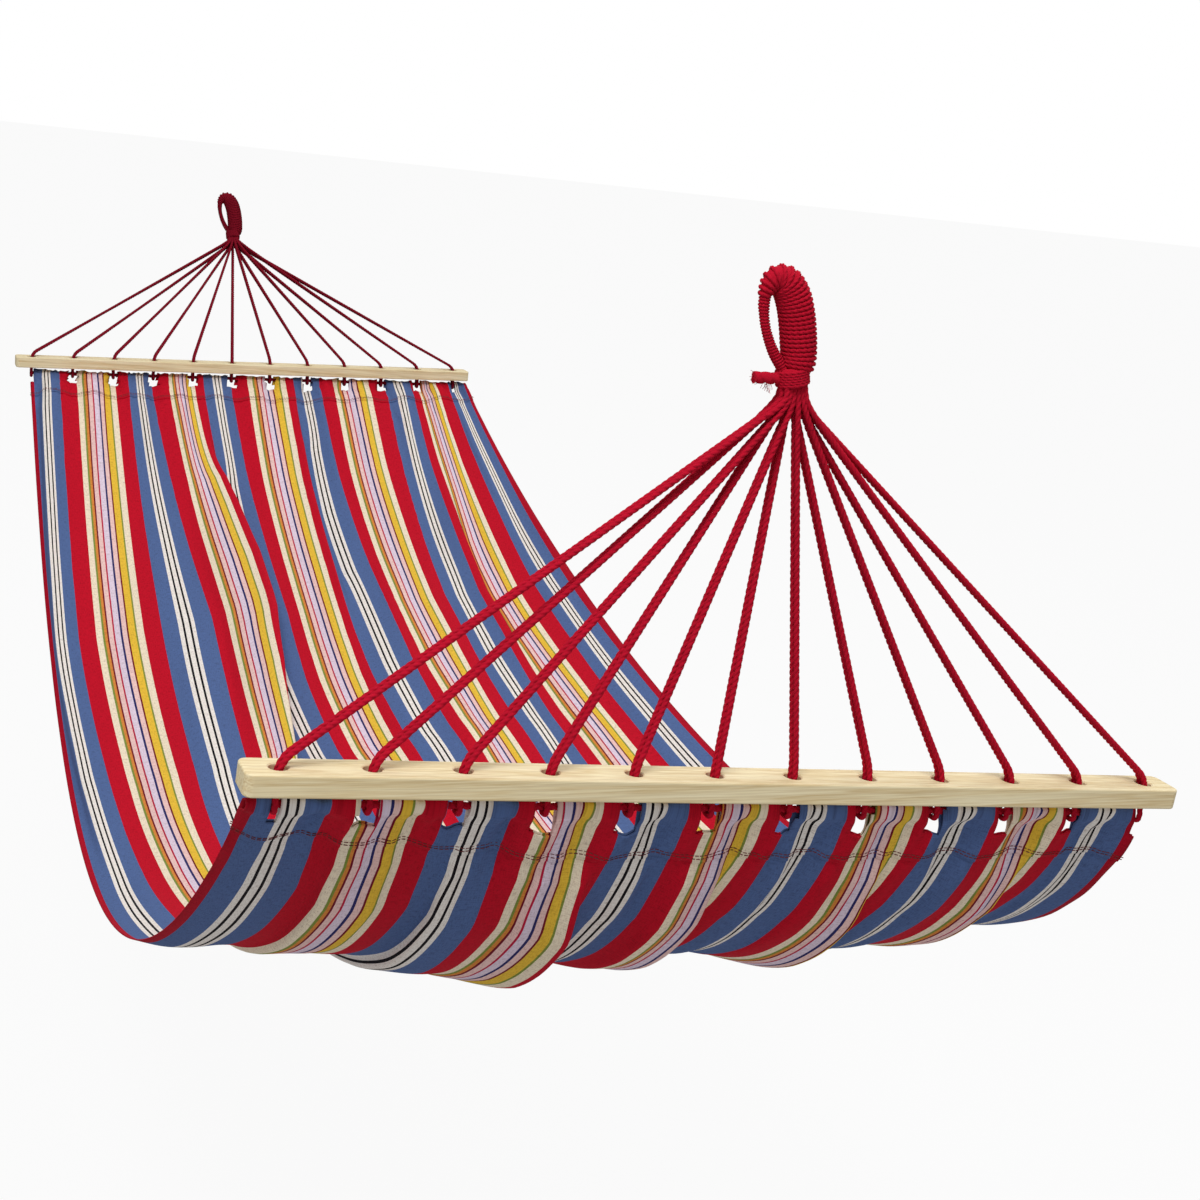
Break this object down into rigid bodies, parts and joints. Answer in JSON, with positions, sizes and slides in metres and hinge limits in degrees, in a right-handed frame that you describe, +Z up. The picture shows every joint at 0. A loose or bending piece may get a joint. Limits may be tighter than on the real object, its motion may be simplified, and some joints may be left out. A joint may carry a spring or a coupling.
{
  "type": "hammock",
  "caption": "Striped cloth hammock held open by two drilled wooden spreader bars, hung by fans of doubled cord from a bound rope eye at each end.",
  "frame": {"origin": "where a hook bears, inside the top of the near eye", "axes": "+Y from the near eye towards the far eye, +X to the right when looking along +Y, +Z up"},
  "size_m": [0.8025, 2.1857, 0.8183],
  "materials": {
    "striped_cloth": "woven cotton with lengthwise stripes of red, blue, cream and yellow",
    "near_cord": "twisted red cotton",
    "far_cord": "twisted red cotton, seen darker in the shade",
    "pine": "pale planed pine, eased edges"
  },
  "bodies": {
    "hooked_eyes": {"near_eye": "near_cord", "near_whipping": "near_cord", "near_tail": "near_cord", "far_eye": "far_cord", "far_whipping": "far_cord"},
    "slung": {"near_cord_01": "near_cord", "near_cord_02": "near_cord", "near_cord_03": "near_cord", "near_cord_04": "near_cord", "near_cord_05": "near_cord", "near_cord_06": "near_cord", "near_cord_07": "near_cord", "near_cord_08": "near_cord", "near_cord_09": "near_cord", "near_cord_10": "near_cord", "near_cord_11": "near_cord", "near_cord_12": "near_cord", "far_cord_01": "far_cord", "far_cord_02": "far_cord", "far_cord_03": "far_cord", "far_cord_04": "far_cord", "far_cord_05": "far_cord", "far_cord_06": "far_cord", "far_cord_07": "far_cord", "far_cord_08": "far_cord", "far_cord_09": "far_cord", "far_cord_10": "far_cord", "far_cord_11": "far_cord", "far_cord_12": "far_cord", "near_bundle": "near_cord", "far_bundle": "far_cord", "near_hem_rope": "near_cord", "far_hem_rope": "far_cord", "bed_cloth": "striped_cloth"},
    "near_spreader": {"near_bar": "pine"},
    "far_spreader": {"far_bar": "pine"}
  },
  "joints": [
    {"name": "swing", "type": "hinge", "parent": "hooked_eyes", "child": "slung", "pos_m": [0.02525, 0, -0.06108], "axis": [0.0052, 0.9987, -0.0498], "range_deg": [-35, 35]},
    {"name": "near_bar_rock", "type": "hinge", "parent": "slung", "child": "near_spreader", "pos_m": [0.03925, -0.007, -0.36558], "axis": [0.9991, 0, -0.0419], "range_deg": [-7, 7]},
    {"name": "far_bar_rock", "type": "hinge", "parent": "slung", "child": "far_spreader", "pos_m": [0.03925, 1.893, -0.36558], "axis": [0.9996, 0, 0.0279], "range_deg": [-7, 7]}
  ]
}
